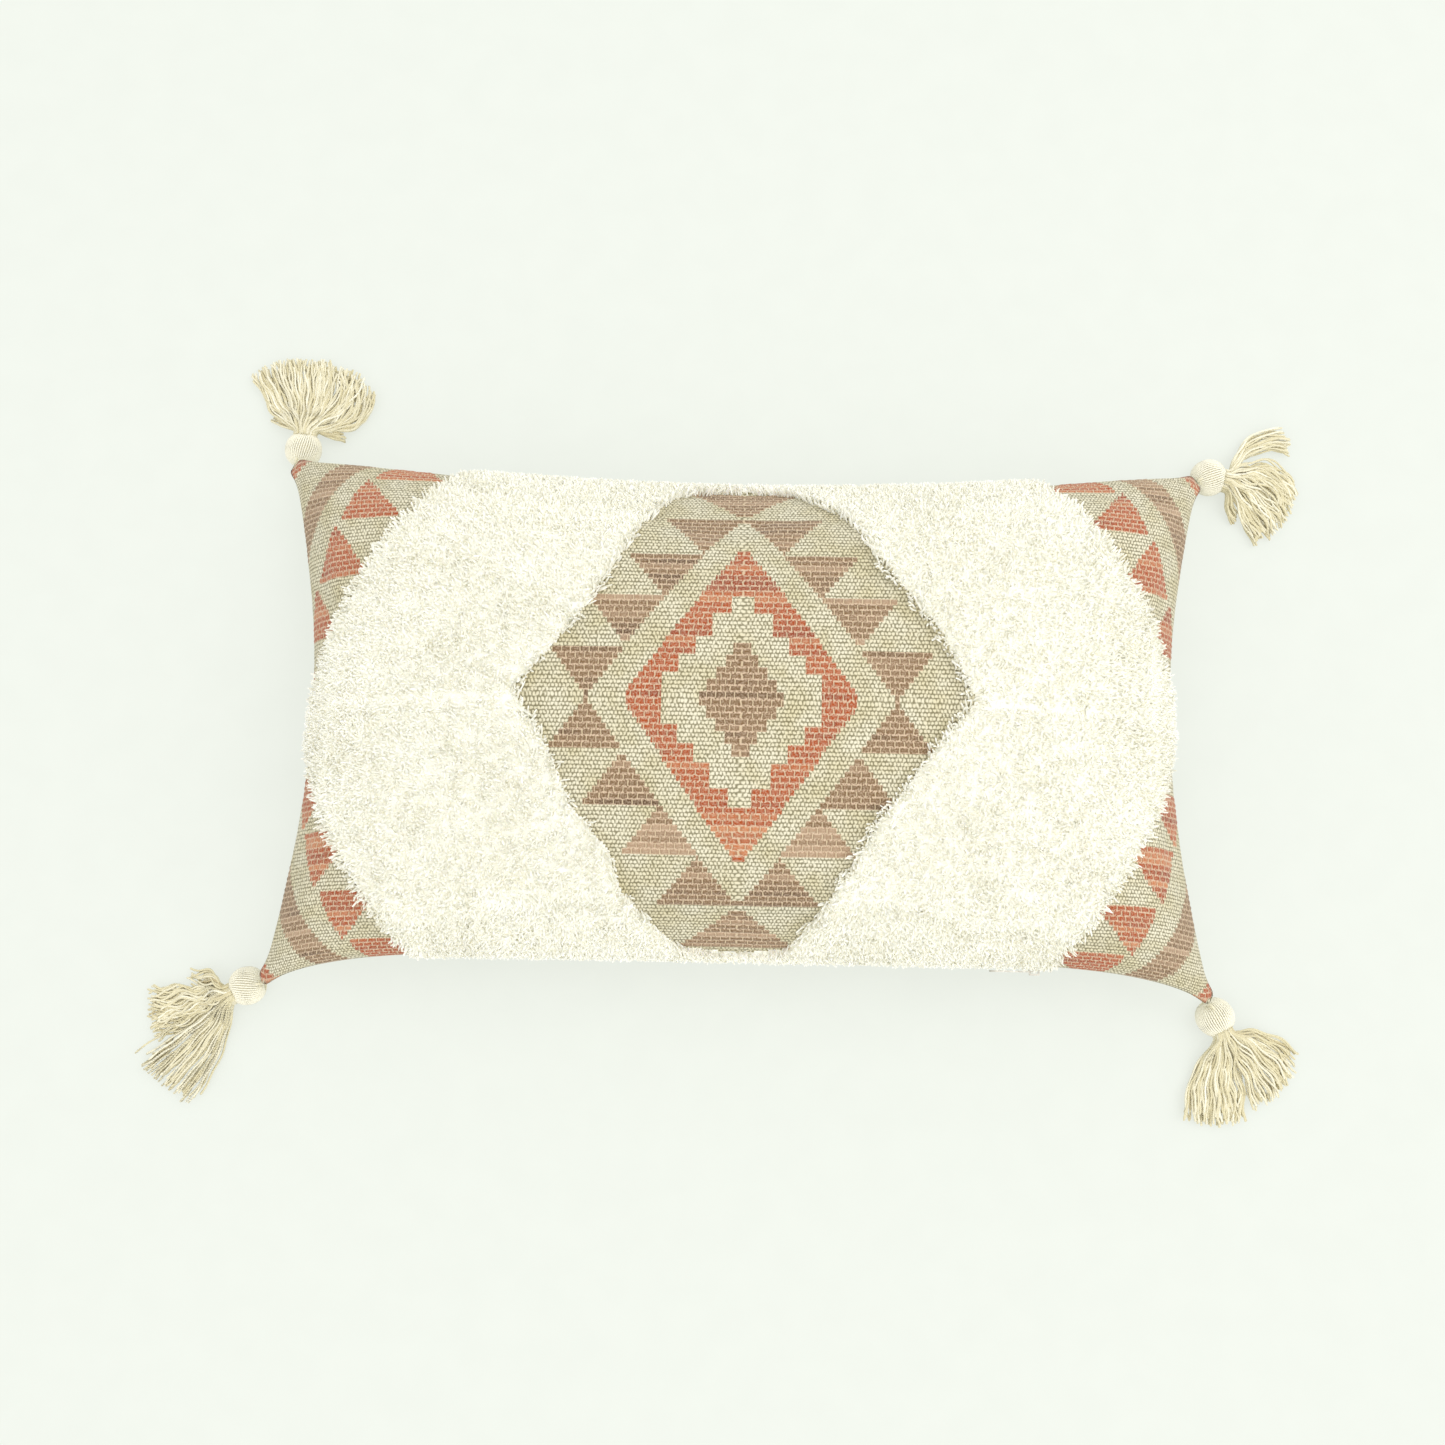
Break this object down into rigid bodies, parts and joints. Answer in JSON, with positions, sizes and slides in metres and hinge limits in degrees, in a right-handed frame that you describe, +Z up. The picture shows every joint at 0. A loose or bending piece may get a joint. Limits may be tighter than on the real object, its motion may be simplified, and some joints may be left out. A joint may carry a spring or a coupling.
{
  "type": "throw pillow",
  "caption": "Rectangular throw pillow with a woven, partly tufted zip-off cover, a tassel on each corner and a filled insert.",
  "frame": {"origin": "centre of the flat patch that the pillow rests on, under the middle of the cover", "axes": "+Z up out of the front panel, X along the long side, +Y away from the zipped side"},
  "size_m": [0.7356, 0.4734, 0.1304],
  "materials": {
    "woven_cover": "weft-faced cotton weave, rust and brown stepped figures on cream",
    "pile_yarn": "cut cotton pile",
    "insert_casing": "plain white non-woven fabric",
    "filling": "polyester fibre fill",
    "label": "blank satin ribbon",
    "zipper_tape": "woven polyester tape",
    "tassel_yarn": "plied undyed cotton yarn",
    "zipper_coil": "nylon coil",
    "zipper_metal": "plated zinc, lightly brushed"
  },
  "bodies": {
    "pillow": {"front_panel": "woven_cover", "back_panel": "woven_cover", "tufted_pile": "pile_yarn", "seam_allowance": "woven_cover", "insert_front": "insert_casing", "insert_back": "insert_casing", "insert_filling": "filling", "care_label": "label", "zipper_tape_upper": "zipper_tape", "zipper_tape_lower": "zipper_tape", "zipper_coil_upper": "zipper_coil", "zipper_coil_lower": "zipper_coil", "zipper_top_stops": "zipper_metal", "zipper_bottom_stop": "zipper_metal"},
    "zipper_slider": {"zipper_slider": "zipper_metal"},
    "zipper_pull": {"zipper_pull": "zipper_metal"},
    "tassel_loop_top_left": {"tassel_loop_top_left": "tassel_yarn"},
    "tassel_top_left": {"tassel_head_top_left": "tassel_yarn", "tassel_binding_top_left": "tassel_yarn", "tassel_skirt_top_left": "tassel_yarn"},
    "tassel_loop_top_right": {"tassel_loop_top_right": "tassel_yarn"},
    "tassel_top_right": {"tassel_head_top_right": "tassel_yarn", "tassel_binding_top_right": "tassel_yarn", "tassel_skirt_top_right": "tassel_yarn"},
    "tassel_loop_bottom_left": {"tassel_loop_bottom_left": "tassel_yarn"},
    "tassel_bottom_left": {"tassel_head_bottom_left": "tassel_yarn", "tassel_binding_bottom_left": "tassel_yarn", "tassel_skirt_bottom_left": "tassel_yarn"},
    "tassel_loop_bottom_right": {"tassel_loop_bottom_right": "tassel_yarn"},
    "tassel_bottom_right": {"tassel_head_bottom_right": "tassel_yarn", "tassel_binding_bottom_right": "tassel_yarn", "tassel_skirt_bottom_right": "tassel_yarn"}
  },
  "joints": [
    {"name": "zipper_slide", "type": "slide", "parent": "pillow", "child": "zipper_slider", "axis": [1, 0, 0], "range_m": [-0.356, 0]},
    {"name": "zipper_pull_lift", "type": "hinge", "parent": "zipper_slider", "child": "zipper_pull", "pos_m": [0.179, -0.14845, 0.046], "axis": [0, 0, 1], "range_deg": [0, 165]},
    {"name": "tassel_swing_top_left", "type": "hinge", "parent": "pillow", "child": "tassel_loop_top_left", "pos_m": [-0.29, 0.165, 0.021], "axis": [0, 0, 1], "range_deg": [-30, 30]},
    {"name": "tassel_lift_top_left", "type": "hinge", "parent": "tassel_loop_top_left", "child": "tassel_top_left", "pos_m": [-0.28969, 0.16949, 0.02], "axis": [0.9976, -0.0698, 0], "range_deg": [0, 80]},
    {"name": "tassel_swing_top_right", "type": "hinge", "parent": "pillow", "child": "tassel_loop_top_right", "pos_m": [0.29, 0.165, 0.021], "axis": [0, 0, 1], "range_deg": [-20, 30]},
    {"name": "tassel_lift_top_right", "type": "hinge", "parent": "tassel_loop_top_right", "child": "tassel_top_right", "pos_m": [0.2939, 0.16725, 0.02], "axis": [0.5, -0.866, 0], "range_deg": [0, 80]},
    {"name": "tassel_swing_bottom_left", "type": "hinge", "parent": "pillow", "child": "tassel_loop_bottom_left", "pos_m": [-0.29, -0.165, 0.021], "axis": [0, 0, 1], "range_deg": [-30, 30]},
    {"name": "tassel_lift_bottom_left", "type": "hinge", "parent": "tassel_loop_bottom_left", "child": "tassel_bottom_left", "pos_m": [-0.29443, -0.16578, 0.02], "axis": [-0.1736, 0.9848, 0], "range_deg": [0, 80]},
    {"name": "tassel_swing_bottom_right", "type": "hinge", "parent": "pillow", "child": "tassel_loop_bottom_right", "pos_m": [0.29, -0.165, 0.021], "axis": [0, 0, 1], "range_deg": [-30, 30]},
    {"name": "tassel_lift_bottom_right", "type": "hinge", "parent": "tassel_loop_bottom_right", "child": "tassel_bottom_right", "pos_m": [0.29289, -0.16845, 0.02], "axis": [-0.766, -0.6428, 0], "range_deg": [0, 80]}
  ]
}
